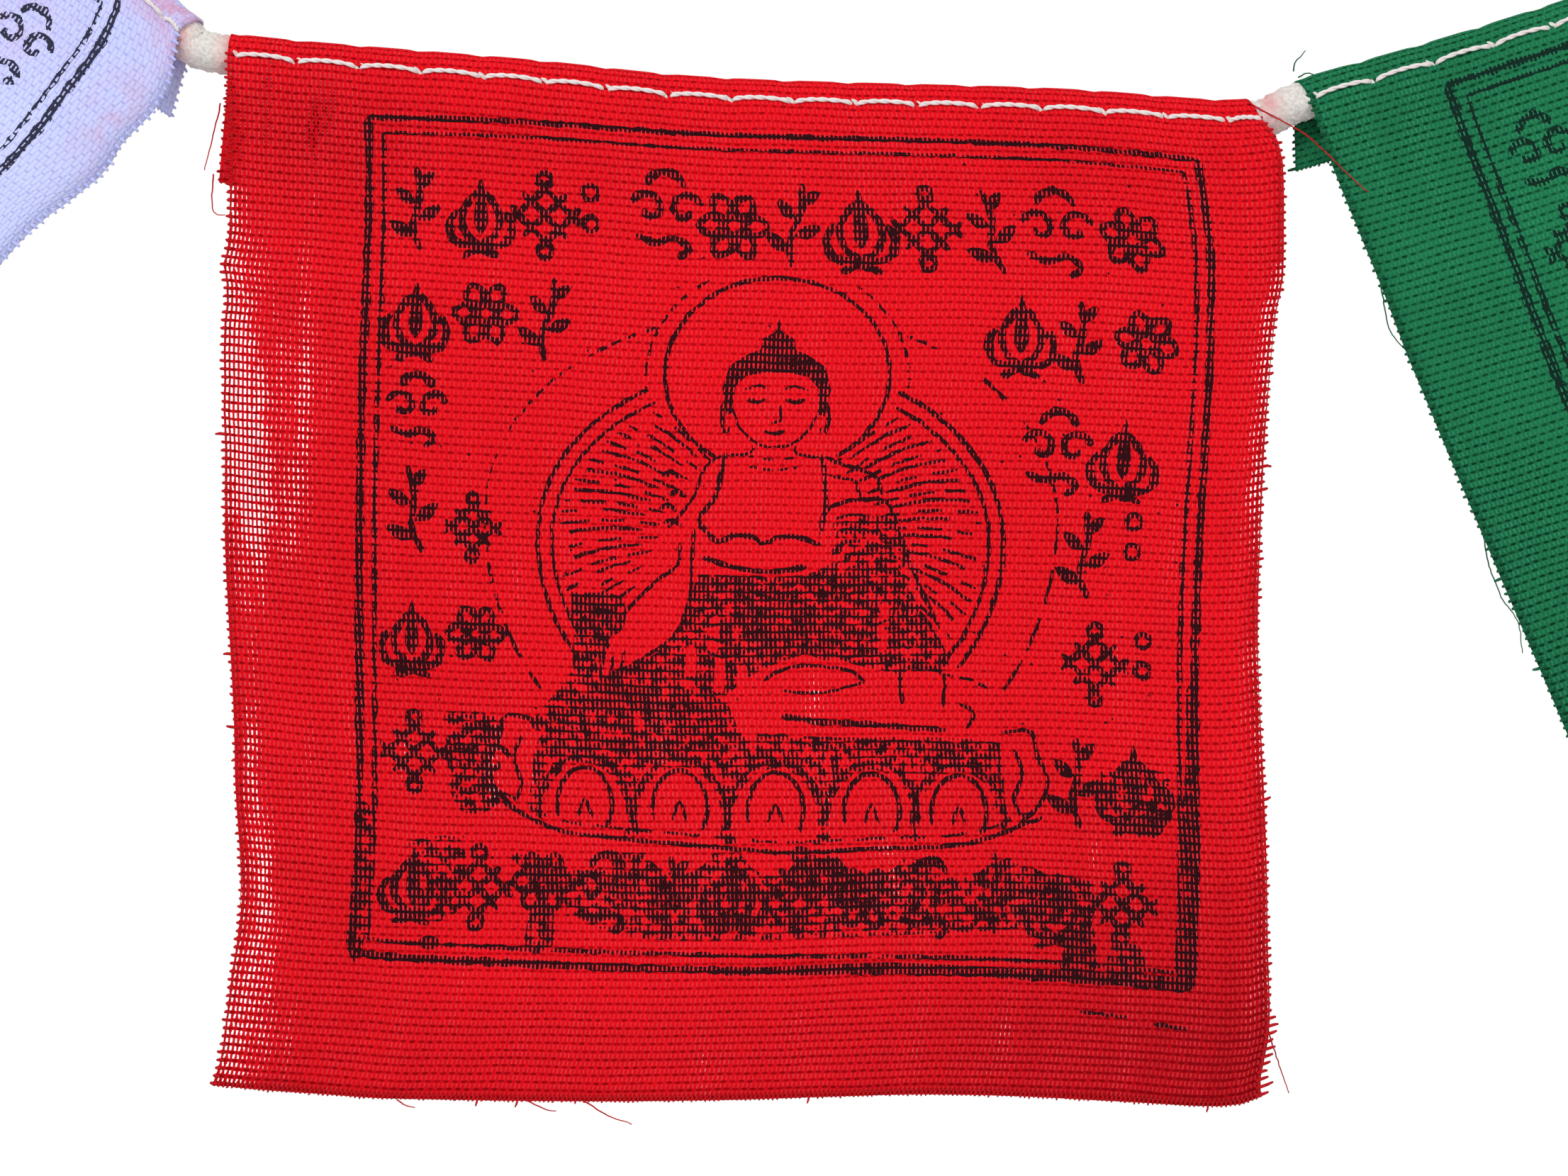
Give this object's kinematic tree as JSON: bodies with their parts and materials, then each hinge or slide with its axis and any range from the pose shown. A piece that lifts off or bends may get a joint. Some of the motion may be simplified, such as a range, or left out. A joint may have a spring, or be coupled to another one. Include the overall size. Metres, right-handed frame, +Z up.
{
  "type": "string of prayer flags on a cord",
  "caption": "Square printed cotton flags in white, red and green, folded over a white cord and sewn there, hanging in a shallow swag with knotted cord ends.",
  "frame": {"origin": "tip of the cord's left end, past its knot, by which the string is tied up", "axes": "+X along the string from its left end to its right end, +Z up, the printed faces look along -Y"},
  "size_m": [0.3711, 0.0118, 0.1816],
  "materials": {
    "cord": "soft knitted white cotton cord",
    "white_cloth": "open plain-weave cotton, lavender white, block printed in black",
    "red_cloth": "open plain-weave cotton, bright red, block printed in black",
    "green_cloth": "open plain-weave cotton, green, block printed in black"
  },
  "bodies": {
    "root": {"cord": "cord", "knot_left": "cord", "knot_right": "cord", "flag_white": "white_cloth", "flag_red": "red_cloth", "flag_green": "green_cloth"}
  },
  "joints": []
}
